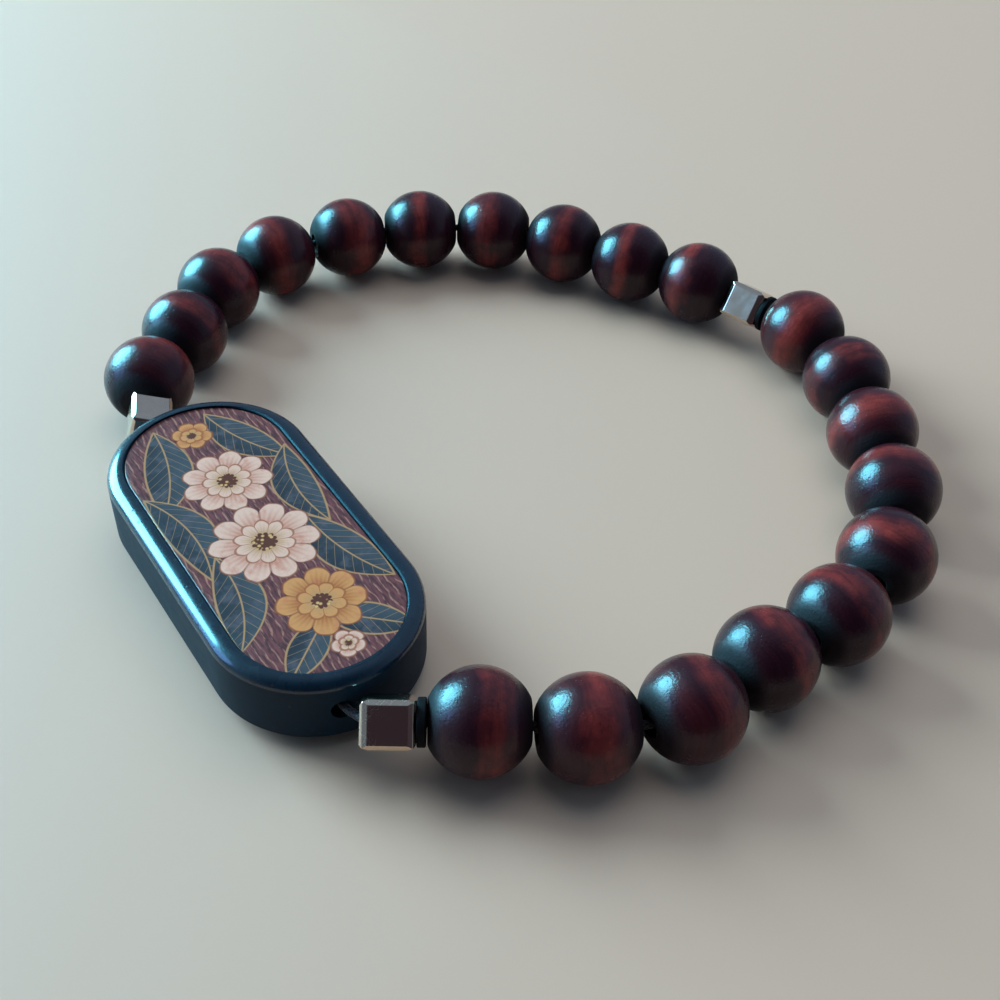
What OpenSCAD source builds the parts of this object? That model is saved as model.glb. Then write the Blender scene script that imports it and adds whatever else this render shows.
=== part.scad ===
// Beaded wooden bracelet with an oblong picture plaque, lying flat on a table.
// The plaque lies along X at the front, the string of beads runs round behind it, and +Z is up.
// The origin is at the middle of the whole bracelet's footprint, on the table.

/* [Wooden beads] */
// Diameter of a bead
bead_d = 8; // [7:0.25:9]
// Diameter of the flat at each drilled end of a bead
bead_flat_d = 3.4; // [2.4:0.1:3.6]
// Diameter of the hole through beads, cubes, discs and plaque
bore_d = 1.8; // [1.6:0.1:2]

/* [Metal cubes and black discs] */
// Length of a metal cube along its hole
cube_l = 3.8; // [3.4:0.1:4.2]
// Width of a metal cube across its hole
cube_w = 3.5; // [3.2:0.1:4]
// Width of the bevel along the edges of a cube
cube_bevel = 0.35; // [0.1:0.05:0.5]
// Diameter of a black disc
disc_d = 3.5; // [3:0.1:4.6]
// Thickness of a black disc
disc_t = 0.4; // [0.3:0.05:0.8]

/* [Plaque] */
// Length of the plaque
plaque_l = 34.4; // [31:0.2:37]
// Width of the plaque
plaque_w = 16.6; // [14:0.2:18]
// Thickness of the plaque
plaque_t = 6; // [5:0.5:7]
// Radius of its rounded upper edge
rim_r = 0.7; // [0.3:0.1:1]
// Radius of its rounded lower edge
base_r = 0.5; // [0.3:0.1:1]
// Width of the rim along the straight sides
rim_side = 1.6; // [1.2:0.1:2.4]
// Width of the rim at the round ends
rim_end = 1.1; // [1.1:0.1:2.4]
// Thickness of the printed picture plate
picture_t = 0.5; // [0.3:0.1:1]
// How far the picture lies below the rim
picture_step = 0.2; // [0:0.05:0.5]
// How far the string's channel lies in front of the plaque's middle line
channel_shift = 2; // [0:0.25:2.5]

/* [Elastic cord] */
// Diameter of the elastic cord
cord_d = 0.7; // [0.5:0.05:0.8]
// Gap kept between neighbouring pieces
gap = 0.1; // [0.05:0.01:0.2]
// Bare cord between the plaque and the cube at its right end
right_slack = 1.75; // [1.7:0.05:3]
// Bare cord between the plaque and the cube at its left end
left_slack = 1; // [1:0.05:3]

/* [Hidden] */
$fn = 72;
beads = 20;

// The holes of the string lie at the height of a bead's middle, but for those that are lifted.
string_z = bead_d / 2;
bead_end = sqrt(pow(bead_d / 2, 2) - pow(bead_flat_d / 2, 2));
flat_angle = asin(bead_flat_d / bead_d);
straight_l = plaque_l - plaque_w;
mouth_x = straight_l / 2 + sqrt(pow(plaque_w / 2, 2) - pow(channel_shift, 2));
right_mouth = [mouth_x, -channel_shift];
left_mouth = [-mouth_x, -channel_shift];

// The string as links from one piece's middle to the next, from the plaque's right
// end round the back to its left end. A bearing is in degrees from +X towards +Y.
// Rows: [the piece that the link leads to, the link's bearing, bare cord beyond the gap,
// how far that piece is lifted]
KIND = 0;
BEARING = 1;
BARE = 2;
LIFT = 3;
LINKS = [
    ["cube", 30, right_slack, 0.8],
    ["bead", 61, 0, 0.3], ["bead", 55, 0, 0], ["bead", 70, 0, 0], ["bead", 95, 0, 0],
    ["bead", 92, 0.1, 0], ["bead", 108, 0.4, 0], ["bead", 130, 0.4, 0], ["bead", 148, 0, 0],
    ["bead", 153, 0, 0], ["bead", 168, 0, 0],
    ["cube", 194, 0, 0],
    ["bead", 197, 0, 0], ["bead", 209, 0, 0], ["bead", 211, 0, 0], ["bead", 220, 0, 0],
    ["bead", 238, 0, 0], ["bead", 251, 0, 0], ["bead", 265, 0.2, 0], ["bead", 288, 0, 0],
    ["bead", 311, 0, 0], ["bead", 312, 0, 0],
    ["cube", 337, 0, 0],
    ["mouth", 344, left_slack, 0]
];
last = len(LINKS) - 1;
// Rows: [link that leads to the cube, degrees its hole is turned past the string's own
// direction there, side of its disc along the string: 1 after it, -1 before it, 0 none,
// degrees the cube has rolled about its hole]
ROW = 0;
SLEW = 1;
DISC_SIDE = 2;
ROLL = 3;
CUBES = [[0, 11, 1, -43], [11, 0, -1, 33], [22, -4, 0, -18]];

function bead_name(n) = str("bead_", n < 10 ? "0" : "", n);
function unit(a) = [cos(a), sin(a)];
function cube_at(i) = [for (c = CUBES) if (c[ROW] == i) c][0];
function is_bead(i) = LINKS[i][KIND] == "bead";

// A small turn of every link, worked out below, that closes the string on the plaque.
function bearing(i, fix) = let (b = LINKS[i][BEARING]) b + fix.x * cos(b) + fix.y * sin(b);
function axis_bearing(i, fix) =
    (bearing(i, fix) + bearing(i + 1, fix)) / 2 + (is_bead(i) ? 0 : cube_at(i)[SLEW]);

// How far piece i reaches along a link that makes the angle a with its hole.
// side is 1 for the link after the piece and -1 for the link before it.
function bead_reach(a) =
    a > flat_angle ? bead_d / 2 : bead_end * cos(a) + bead_flat_d / 2 * sin(a);
function cube_half(i, side) = cube_l / 2 + (cube_at(i)[DISC_SIDE] == side ? gap + disc_t : 0);
function cube_reach(i, a, side) =
    cube_half(i, side) * cos(a)
    + (cube_at(i)[DISC_SIDE] == side ? disc_d : cube_w) / 2 * sin(a);
function reach(i, side, fix) =
    let (link = side > 0 ? i + 1 : i, a = abs(axis_bearing(i, fix) - bearing(link, fix)))
    is_bead(i) ? bead_reach(a) : cube_reach(i, a, side);

function link_length(i, fix) =
    LINKS[i][BARE]
    + (i == 0 || i == last ? cube_l / 2 : reach(i - 1, 1, fix) + gap + reach(i, -1, fix));
function link_step(i, fix) = link_length(i, fix) * unit(bearing(i, fix));
function places(fix) = [
    for (i = 0, p = right_mouth + link_step(0, fix);
         i <= last;
         i = i + 1, p = i <= last ? p + link_step(i, fix) : p) p
];

// Newton's rule on two numbers brings the string's end to the plaque's left mouth.
function miss(fix) = places(fix)[last] - left_mouth;
function settle(fix, rounds) =
    rounds == 0 ? fix
    : let (
        nudge = 0.05,
        e = miss(fix),
        ex = (miss(fix + [nudge, 0]) - e) / nudge,
        ey = (miss(fix + [0, nudge]) - e) / nudge,
        det = ex.x * ey.y - ex.y * ey.x
    )
    settle(fix - [(e.x * ey.y - e.y * ey.x) / det, (ex.x * e.y - ex.y * e.x) / det], rounds - 1);
fix = settle([0, 0], 5);
PLACES = places(fix);

// Middle of the footprint, which becomes the origin.
bead_rows = [for (i = [0:last - 1]) if (is_bead(i)) i];
bead_xs = [for (i = bead_rows) PLACES[i].x];
bead_ys = [for (i = bead_rows) PLACES[i].y];
middle = [
    (min(bead_xs) + max(bead_xs)) / 2,
    (max(bead_ys) + bead_d / 2 - plaque_w / 2) / 2
];

module in_frame() {
    translate([-middle.x, -middle.y, 0]) children();
}

// Puts a piece whose hole runs along X at row i of the string, moved ahead along its hole.
module on_string(i, ahead = 0) {
    a = axis_bearing(i, fix);
    p = PLACES[i] + ahead * unit(a);
    in_frame() translate([p.x, p.y, string_z + LINKS[i][LIFT]]) rotate([0, 0, a]) children();
}

module bore(length) {
    rotate([0, 90, 0]) cylinder(d = bore_d, h = length, center = true);
}

module bead(n) {
    color([0.25, 0.1, 0.07])
    on_string(bead_rows[n - 1]) rotate([0, 90, 0]) rotate_extrude() intersection() {
        circle(d = bead_d);
        translate([bore_d / 2, -bead_end]) square([bead_d, 2 * bead_end]);
    }
}

// A bar along Z, w by l wide, with its four long edges bevelled
module bevelled_bar(w, l) {
    linear_extrude(2 * cube_l, center = true)
    polygon([
        for (s = [[1, 1], [-1, 1], [-1, -1], [1, -1]], first = [1, 0])
            let (cut = cube_bevel * (first == (s.x * s.y > 0 ? 1 : 0) ? [0, 1] : [1, 0]))
            [s.x * (w / 2 - cut.x), s.y * (l / 2 - cut.y)]
    ]);
}

module metal_cube(n) {
    c = CUBES[n - 1];
    color([0.62, 0.61, 0.58])
    on_string(c[ROW]) rotate([c[ROLL], 0, 0]) difference() {
        intersection() {
            bevelled_bar(cube_l, cube_w);
            rotate([90, 0, 0]) bevelled_bar(cube_l, cube_w);
            rotate([0, 90, 0]) bevelled_bar(cube_w, cube_w);
        }
        bore(2 * cube_l);
    }
}

module disc(n) {
    c = CUBES[n - 1];
    color([0.05, 0.05, 0.06])
    on_string(c[ROW], c[DISC_SIDE] * (cube_l / 2 + gap + disc_t / 2)) difference() {
        rotate([0, 90, 0]) cylinder(d = disc_d, h = disc_t, center = true);
        bore(2 * disc_t);
    }
}

// Half of the plaque's upright section: flat above and below, with both corners rounded off
corner_steps = 3;
function corner(r, x, y, from) = [
    for (k = [0:corner_steps]) [x, y] + r * unit(from + 90 * k / corner_steps)
];
module half_section() {
    polygon(concat(
        [[0, 0]],
        corner(base_r, plaque_w / 2 - base_r, base_r, -90),
        corner(rim_r, plaque_w / 2 - rim_r, plaque_t - rim_r, 0),
        [[0, plaque_t]]
    ));
}

module oblong_block() {
    for (s = [0, 1]) mirror([s, 0, 0]) {
        translate([straight_l / 2, 0, 0]) rotate([0, 0, -90]) rotate_extrude(angle = 180) half_section();
    }
    for (s = [0, 1]) mirror([0, s, 0]) {
        rotate([90, 0, 90]) linear_extrude(straight_l, center = true) half_section();
    }
}

module oblong(l, w, t) {
    linear_extrude(t) {
        square([l - w, w], center = true);
        for (s = [-1, 1]) translate([s * (l - w) / 2, 0]) circle(d = w);
    }
}

picture_l = plaque_l - 2 * rim_end;
picture_w = plaque_w - 2 * rim_side;
picture_fit = 0.05;
recess_t = picture_step + picture_t + picture_fit;

module plaque_body() {
    color([0.06, 0.07, 0.08])
    in_frame() translate([0, 0, string_z - plaque_t / 2]) difference() {
        oblong_block();
        translate([0, 0, plaque_t - recess_t]) oblong(picture_l, picture_w, 2 * recess_t);
        translate([0, -channel_shift, plaque_t / 2]) bore(2 * plaque_l);
    }
}

module plaque_picture() {
    color([0.5, 0.33, 0.22])
    in_frame() translate([0, 0, string_z + plaque_t / 2 - picture_step - picture_t])
        oblong(picture_l - 2 * picture_fit, picture_w - 2 * picture_fit, picture_t);
}

// The cord lies on the axis of every hole, and crosses from one hole to the next
// in a short slant that starts a little inside their mouths.
mouth_depth = 0.35;
cord_sides = 8;
function half_length(i, side) = is_bead(i) ? bead_end : cube_half(i, side);
function at_height(p, lift) = [p.x, p.y, string_z + lift];
function mouth(i, side) = at_height(
    PLACES[i] + side * (half_length(i, side) - mouth_depth) * unit(axis_bearing(i, fix)),
    LINKS[i][LIFT]
);
ROUTE = concat(
    [at_height(right_mouth - [mouth_depth, 0], 0)],
    [for (i = [0:last - 1], side = [-1, 1]) mouth(i, side)],
    [at_height(left_mouth + [mouth_depth, 0], 0)]
);
function heading(v) = atan2(v.y, v.x);
function bend(a, b) = let (d = b - a) d > 180 ? d - 360 : d < -180 ? d + 360 : d;

// A ring square to the middle direction of the two stretches that meet at point k
function cord_ring(k) =
    let (
        n = len(ROUTE),
        before = ROUTE[k] - ROUTE[(k + n - 1) % n],
        after = ROUTE[(k + 1) % n] - ROUTE[k],
        turn = bend(heading(before), heading(after)),
        along = unit(heading(before) + turn / 2),
        across = [-along.y, along.x, 0] / cos(turn / 2),
        slope = (before.z / norm(before) + after.z / norm(after)) / 2,
        upward = [-slope * along.x, -slope * along.y, 1]
    )
    [for (s = [0:cord_sides - 1])
        let (u = cord_d / 2 * unit(360 * (s + 0.5) / cord_sides))
        ROUTE[k] + u.x * across + u.y * upward];

module elastic_cord() {
    rings = len(ROUTE);
    points = [for (k = [0:rings - 1]) each cord_ring(k)];
    function at(k, s) = (k % rings) * cord_sides + s % cord_sides;
    color([0.1, 0.1, 0.11])
    in_frame() polyhedron(
        points = points,
        faces = [for (k = [0:rings - 1], s = [0:cord_sides - 1])
            each [[at(k, s), at(k + 1, s), at(k, s + 1)], [at(k, s + 1), at(k + 1, s), at(k + 1, s + 1)]]]
    );
}

plaque_body();
plaque_picture();
elastic_cord();
for (n = [1:3]) metal_cube(n);
for (n = [1:2]) disc(n);
for (n = [1:beads]) bead(n);
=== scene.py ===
"""Dresses the beaded bracelet: wooden beads, polished cubes, black discs, the plaque and its print."""

import math

import bmesh
import bpy
import numpy as np
from bpy.props import FloatProperty, FloatVectorProperty, IntProperty, PointerProperty
from mathutils import Matrix, Vector


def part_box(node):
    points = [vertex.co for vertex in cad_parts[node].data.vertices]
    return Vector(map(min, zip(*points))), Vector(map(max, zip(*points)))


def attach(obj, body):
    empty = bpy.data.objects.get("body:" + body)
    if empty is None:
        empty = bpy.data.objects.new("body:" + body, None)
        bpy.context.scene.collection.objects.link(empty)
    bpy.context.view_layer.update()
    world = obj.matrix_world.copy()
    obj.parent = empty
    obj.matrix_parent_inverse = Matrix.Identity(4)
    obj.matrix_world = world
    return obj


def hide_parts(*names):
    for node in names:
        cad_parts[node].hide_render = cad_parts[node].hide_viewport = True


bl_info = {
    "name": "Beaded wooden bracelet",
    "version": (1, 0, 0),
    "blender": (4, 5, 0),
    "location": "View3D > Sidebar > Bracelet",
    "description": "Makes the beads, cubes, discs, plaque, picture and cord of a wooden bracelet",
    "category": "Add Mesh",
}

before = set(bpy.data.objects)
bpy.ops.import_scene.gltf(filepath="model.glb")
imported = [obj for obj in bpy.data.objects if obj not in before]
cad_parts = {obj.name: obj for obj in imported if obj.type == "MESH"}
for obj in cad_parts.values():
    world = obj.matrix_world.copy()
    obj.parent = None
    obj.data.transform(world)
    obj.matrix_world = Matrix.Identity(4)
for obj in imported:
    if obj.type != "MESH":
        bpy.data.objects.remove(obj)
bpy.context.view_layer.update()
MM = 0.001
TAU = 2 * math.pi

BEADS = ["bead_%02d" % n for n in range(1, 21)]
CUBES = ["cube_1", "cube_2", "cube_3"]
DISCS = ["disc_1", "disc_2"]
STRING = ["cube_1", *BEADS[:10], "cube_2", *BEADS[10:], "cube_3"]


# Reading the frame


def node_points(node):
    """Every vertex of a CAD node, in millimetres."""
    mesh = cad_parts[node].data
    points = np.empty(len(mesh.vertices) * 3)
    mesh.vertices.foreach_get("co", points)
    return points.reshape(-1, 3) / MM


def node_middle(node):
    """Middle of a CAD node's box, in millimetres."""
    low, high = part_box(node)
    return np.array((low + high) / 2) / MM


CORD_POINTS = node_points("elastic_cord")
# How far the cord's rings in a bead or a cube can lie from its middle, in millimetres
BEAD_REACH = 4.0
CUBE_REACH = 2.2


def hole_ends(node):
    """Where the cord enters and leaves a piece: the middles of the two rings of cord points inside it."""
    near = BEAD_REACH if node in BEADS else CUBE_REACH
    middle = node_middle(node)
    inside = CORD_POINTS[np.linalg.norm(CORD_POINTS - middle, axis=1) < near]
    main = np.linalg.svd(inside - inside.mean(axis=0))[2][0]
    reach = (inside - middle) @ main
    return [inside[reach < 0].mean(axis=0), inside[reach > 0].mean(axis=0)]


def hole_axis(node):
    """Unit vector along a piece's hole."""
    first, second = hole_ends(node)
    return (second - first) / np.linalg.norm(second - first)


def upright_basis(axis, roll=0.0):
    """Rows are the hole's axis, the level direction across it and the upright one, rolled about the axis."""
    level = np.cross([0.0, 0.0, 1.0], axis)
    upright = np.cross(axis, level)
    c, s = math.cos(roll), math.sin(roll)
    return np.array([axis, c * level + s * upright, c * upright - s * level])


# Profiles and surfaces


def corner(along, radius):
    """A single point of a profile."""
    return np.array([[along, radius]])


def arc(centre_x, centre_r, radius, start, end, steps):
    """Points of a circular arc in the profile plane, both ends included, angles in degrees."""
    a = np.radians(np.linspace(start, end, steps))
    return np.stack([centre_x + radius * np.cos(a), centre_r + radius * np.sin(a)], axis=1)


def straight(a, b, steps):
    """Points between two profile points, both ends left out."""
    t = np.linspace(0, 1, steps + 2)[1:-1, None]
    return np.array(a) * (1 - t) + np.array(b) * t


def round_angles(columns):
    """One whole turn in equal steps, in radians."""
    return TAU * np.arange(columns) / columns


def turned(profile, columns):
    """A profile of (along, radius) turned about the first axis: radius goes round by cosine and sine."""
    angle = round_angles(columns)
    along = np.repeat(profile[:, :1], columns, axis=1)
    radius = profile[:, 1:2]
    return np.stack([along, radius * np.cos(angle), radius * np.sin(angle)], axis=-1)


def grid_faces(rows, columns, closed_rows):
    """Quads between neighbouring rows of a grid whose columns close on themselves."""
    r, c = np.meshgrid(np.arange(rows if closed_rows else rows - 1), np.arange(columns), indexing="ij")
    r2, c2 = (r + 1) % rows, (c + 1) % columns
    quads = np.stack([r * columns + c, r2 * columns + c, r2 * columns + c2, r * columns + c2], axis=-1)
    return quads.reshape(-1, 4)


def new_object(name, data):
    """An object in the scene."""
    made = bpy.data.objects.new(name, data)
    bpy.context.scene.collection.objects.link(made)
    return made


def make_piece(name, grid, material, closed_rows=True, **fields):
    """A smooth mesh object from a grid of points in millimetres. Each field becomes an attribute on its
    points: a grid of vectors, or numbers that are spread over the grid."""
    rows, columns = grid.shape[:2]
    faces = grid_faces(rows, columns, closed_rows)
    mesh = bpy.data.meshes.new(name)
    mesh.from_pydata((grid.reshape(-1, 3) * MM).tolist(), [], faces.tolist())
    mesh.polygons.foreach_set("use_smooth", np.ones(len(mesh.polygons), bool))
    for field, values in fields.items():
        if np.ndim(values) == 3:
            layer, slot = mesh.attributes.new(field, "FLOAT_VECTOR", "POINT"), "vector"
        else:
            layer, slot = mesh.attributes.new(field, "FLOAT", "POINT"), "value"
            values = np.broadcast_to(values, (rows, columns))
        layer.data.foreach_set(slot, values.astype(np.float32).ravel())
    mesh.materials.append(material)
    mesh.update()
    return new_object(name, mesh)


def merged_closed(piece):
    """Welds the points that meet on a middle line, so that the surface closes there."""
    work = bmesh.new()
    work.from_mesh(piece.data)
    bmesh.ops.remove_doubles(work, verts=work.verts, dist=1e-7)
    bmesh.ops.dissolve_degenerate(work, edges=work.edges, dist=1e-7)
    bmesh.ops.recalc_face_normals(work, faces=work.faces)
    work.to_mesh(piece.data)
    work.free()


def sharpen(piece, degrees):
    """Marks edges sharper than an angle, so that smooth shading stops there."""
    work = bmesh.new()
    work.from_mesh(piece.data)
    for edge in work.edges:
        edge.smooth = len(edge.link_faces) == 2 and edge.calc_face_angle(0.0) < math.radians(degrees)
    work.to_mesh(piece.data)
    work.free()


def drill(piece, middle, radius, length):
    """Takes a round bar along X out of a piece."""
    half = length / 2
    bar = turned(np.array([[-half, 0.0], [-half, radius], [half, radius], [half, 0.0]]), 48)
    cutter = make_piece("channel_cutter", bar + middle, piece.data.materials[0], closed_rows=False)
    merged_closed(cutter)
    cut = piece.modifiers.new("channel", "BOOLEAN")
    cut.operation, cut.solver, cut.object = "DIFFERENCE", "EXACT", cutter
    depsgraph = bpy.context.evaluated_depsgraph_get()
    mesh = bpy.data.meshes.new_from_object(piece.evaluated_get(depsgraph))
    piece.modifiers.clear()
    piece.data = mesh
    bpy.data.objects.remove(cutter)


# Node graphs


class Term:
    """A socket that can stand in a formula: each sign adds a math node to the socket's graph."""

    def __init__(self, graph, socket):
        self.graph = graph
        self.socket = socket

    def __add__(self, other):
        return self.graph.math("ADD", self, other)

    def __sub__(self, other):
        return self.graph.math("SUBTRACT", self, other)

    def __rsub__(self, other):
        return self.graph.math("SUBTRACT", other, self)

    def __mul__(self, other):
        return self.graph.math("MULTIPLY", self, other)

    def __truediv__(self, other):
        return self.graph.math("DIVIDE", self, other)

    def __abs__(self):
        return self.graph.math("ABSOLUTE", self)


def colour(value):
    """Three numbers become an opaque colour, anything else is passed on."""
    if isinstance(value, Term) or len(value) == 4:
        return value
    return (*value, 1.0)


class Graph:
    """Short calls that add nodes to a material or a group and join their sockets."""

    def __init__(self, tree):
        self.tree = tree

    def add(self, kind, **values):
        node = self.tree.nodes.new(kind)
        for key, value in values.items():
            setattr(node, key, value)
        return node

    def put(self, value, socket):
        """Joins a value to a socket, or sets the socket to plain numbers."""
        if isinstance(value, Term):
            self.tree.links.new(value.socket, socket)
        elif value is not None:
            socket.default_value = value

    def fill(self, node, values, output=0):
        """Puts values in a node's first sockets in turn and returns one of its outputs."""
        for value, socket in zip(values, node.inputs):
            self.put(value, socket)
        return Term(self, node.outputs[output])

    def feed(self, node, **values):
        """Puts values in a node's sockets by name, where underscores stand for spaces."""
        for key, value in values.items():
            self.put(value, node.inputs[key.replace("_", " ")])

    def outputs(self, node):
        return {socket.name: Term(self, socket) for socket in node.outputs}

    def math(self, operation, *values, clamp=False):
        return self.fill(self.add("ShaderNodeMath", operation=operation, use_clamp=clamp), values)

    def vector(self, operation, *values, output=0):
        return self.fill(self.add("ShaderNodeVectorMath", operation=operation), values, output)

    def smooth(self, value, low, high, out_low=0.0, out_high=1.0):
        """Smooth step of a value from low to high."""
        node = self.add("ShaderNodeMapRange", interpolation_type="SMOOTHSTEP")
        return self.fill(node, (value, low, high, out_low, out_high))

    def fade(self, value, low, high):
        """Smooth step that falls from 1 at low to 0 at high."""
        return self.smooth(value, low, high, 1.0, 0.0)

    def mix(self, factor, a, b, blend="MIX"):
        node = self.add("ShaderNodeMix", data_type="RGBA", blend_type=blend)
        for place, value in ((0, factor), (6, colour(a)), (7, colour(b))):
            self.put(value, node.inputs[place])
        return Term(self, node.outputs[2])

    def split(self, vector):
        node = self.add("ShaderNodeSeparateXYZ")
        self.put(vector, node.inputs[0])
        return [Term(self, socket) for socket in node.outputs]

    def join(self, x, y, z):
        return self.fill(self.add("ShaderNodeCombineXYZ"), (x, y, z))

    def noise(self, vector, scale, detail=2.0, roughness=0.5):
        node = self.add("ShaderNodeTexNoise")
        self.feed(node, Vector=vector, Scale=scale, Detail=detail, Roughness=roughness)
        return Term(self, node.outputs[0])

    def cells(self, vector, scale):
        """Distance to the nearest of many scattered points."""
        node = self.add("ShaderNodeTexVoronoi")
        self.feed(node, Vector=vector, Scale=scale)
        return Term(self, node.outputs["Distance"])

    def attribute(self, name, kind="Fac"):
        return Term(self, self.add("ShaderNodeAttribute", attribute_name=name).outputs[kind])

    def millimetres(self):
        """Object coordinates in millimetres."""
        place = Term(self, self.add("ShaderNodeTexCoord").outputs["Object"])
        return self.vector("MULTIPLY", place, (1 / MM, 1 / MM, 1 / MM))

    def bump(self, height, strength, distance, normal=None):
        node = self.add("ShaderNodeBump")
        self.feed(node, Strength=strength, Distance=distance, Height=height, Normal=normal)
        return Term(self, node.outputs[0])

    def effect(self, name, **values):
        """Places a shared effect with its own values and returns its outputs by name."""
        node = self.add("ShaderNodeGroup", node_tree=effect_group(name))
        self.feed(node, **values)
        return self.outputs(node)


def rotated(x, y, c, s):
    """Two values turned in their plane by an angle with cosine c and sine s."""
    return x * c + y * s, y * c - x * s


def new_material(name, **constants):
    """A material, its graph and its Principled BSDF, whose constant values are set on its own sockets."""
    material = bpy.data.materials.new(name)
    material.use_nodes = True
    graph = Graph(material.node_tree)
    shader = next(n for n in material.node_tree.nodes if n.type == "BSDF_PRINCIPLED")
    graph.feed(shader, **constants)
    return material, graph, shader


# Shared effects


def handling_marks(g, i):
    """Scratches and smudges: thin lines where stretched noise crosses its middle, and wide soft noise."""
    x, y, z = g.split(i["Vector"])
    scratches = None
    for turn, stretch in ((0.5, 9.0), (-0.9, 7.0), (1.9, 8.0)):
        u, v = rotated(x, y, math.cos(turn), math.sin(turn))
        lines = g.noise(g.join(u * (1 / stretch), v, z), i["Scale"], 1.0)
        thin = g.fade(abs(lines - 0.5), 0.0, 0.006)
        scratches = thin if scratches is None else g.math("MAXIMUM", scratches, thin)
    patches = g.smooth(g.noise(i["Vector"], 0.35), 0.5, 0.7)
    smudge = g.smooth(g.noise(i["Vector"], 0.6, 4.0, 0.6), 0.35, 0.75)
    return {"Scratches": scratches * patches, "Smudge": smudge}


def orange_peel(g, i):
    """Slow waves of a thick coat plus small pits and specks, as a height from 0 to 1."""
    waves = g.noise(i["Vector"], i["Wave scale"], 1.0)
    ripple = g.noise(i["Vector"], i["Wave scale"] * 3.1, 1.0)
    some = g.smooth(g.noise(i["Vector"], 1.1, 1.0), 0.42, 0.62)
    pits = g.fade(g.cells(i["Vector"], i["Pit scale"]), 0.06, 0.24) * some
    height = waves * 0.55 + ripple * 0.15 + (1.0 - pits) * i["Pit depth"]
    return {"Height": height, "Pits": pits}


def from_centre(g, i):
    """How far the place is from a motif's centre, across and up."""
    x, y, _ = g.split(i["Vector"])
    centre_x, centre_y, _ = g.split(i["Centre"])
    return x - centre_x, y - centre_y


def flower(g, i):
    """A round flower: petals where the radius is under a scalloped edge, shaded from heart to tip, with fine
    veins, and an outline where the radius is near that edge."""
    dx, dy = from_centre(g, i)
    far = g.math("SQRT", dx * dx + dy * dy)
    angle = g.math("ARCTAN2", dy, dx) + i["Turn"]
    lobes = abs(g.math("COSINE", angle * (i["Petals"] * 0.5)))
    scallop = i["Radius"] * (g.math("SQRT", lobes) * 0.30 + 0.70)
    wobble = (g.noise(i["Vector"], 0.9, 1.0) - 0.5) * 0.35
    reach = far - (scallop + wobble)
    mask = g.fade(reach, -0.05, 0.05)
    outside_heart = g.smooth(far / i["Radius"], 0.25, 0.5)
    split = g.fade(lobes, 0.05, 0.22) * mask * (outside_heart * 0.8)
    line = g.math("MAXIMUM", g.fade(abs(reach), 0.05, 0.13), split)
    veins = g.math("SINE", angle * 42.0 + far * 1.5)
    return {"Mask": mask, "Line": line, "Shade": far / scallop + veins * 0.06}


def leaf(g, i):
    """A pointed leaf on a bent middle rib: its width falls with the square of the way to either tip, and it
    has side veins and an outline."""
    u, v = rotated(*from_centre(g, i), g.math("COSINE", i["Turn"]), g.math("SINE", i["Turn"]))
    v = v + u * u * i["Bend"]
    t = u / i["Half length"]
    reach = abs(v) - i["Half width"] * (1.0 - t * t)
    mask = g.fade(reach, -0.05, 0.05)
    rib = g.fade(abs(v), 0.03, 0.1) * mask
    slant = abs(g.math("SINE", (u - abs(v) * 1.1) * 3.3))
    side = g.smooth(slant, 0.05, 0.16, 0.55, 0.0) * mask
    near = g.math("LESS_THAN", abs(t), 1.04)
    line = g.math("MAXIMUM", g.fade(abs(reach), 0.04, 0.12), g.math("MAXIMUM", rib, side))
    return {"Mask": mask * near, "Line": line * near, "Shade": v / i["Half width"]}


# Each effect's function, its inputs with their defaults, where None stands for a vector, and its outputs
EFFECTS = {
    "handling marks": (handling_marks, {"Vector": None, "Scale": 1.0}, ("Scratches", "Smudge")),
    "orange peel": (orange_peel, {"Vector": None, "Wave scale": 2.0, "Pit scale": 5.0, "Pit depth": 0.3},
                    ("Height", "Pits")),
    "printed flower": (flower, {"Vector": None, "Centre": None, "Radius": 3.0, "Petals": 8.0, "Turn": 0.0},
                       ("Mask", "Line", "Shade")),
    "printed leaf": (leaf, {"Vector": None, "Centre": None, "Half length": 4.0, "Half width": 1.5,
                            "Turn": 0.0, "Bend": 0.0}, ("Mask", "Line", "Shade")),
}


def effect_group(name):
    """A shared effect's shader node group, built the first time it is asked for."""
    if name in bpy.data.node_groups:
        return bpy.data.node_groups[name]
    build, inputs, outputs = EFFECTS[name]
    tree = bpy.data.node_groups.new(name, "ShaderNodeTree")
    for title, default in inputs.items():
        kind = "NodeSocketVector" if default is None else "NodeSocketFloat"
        socket = tree.interface.new_socket(name=title, in_out="INPUT", socket_type=kind)
        if default is not None:
            socket.default_value = default
    for title in outputs:
        tree.interface.new_socket(name=title, in_out="OUTPUT", socket_type="NodeSocketFloat")
    graph = Graph(tree)
    source = graph.outputs(graph.add("NodeGroupInput"))
    graph.feed(graph.add("NodeGroupOutput"), **build(graph, source))
    return tree


# Settings


def size_mm(name, default, description):
    """A size in millimetres."""
    return FloatProperty(name=name, description=description + ", in millimetres", default=default)


def tint(name, default, description):
    """A colour."""
    return FloatVectorProperty(name=name, description=description, default=default, subtype="COLOR", size=3)


def power_w(name, default, description):
    """A lamp's power."""
    return FloatProperty(name=name, description=description + ", in watts", default=default, unit="POWER")


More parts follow.
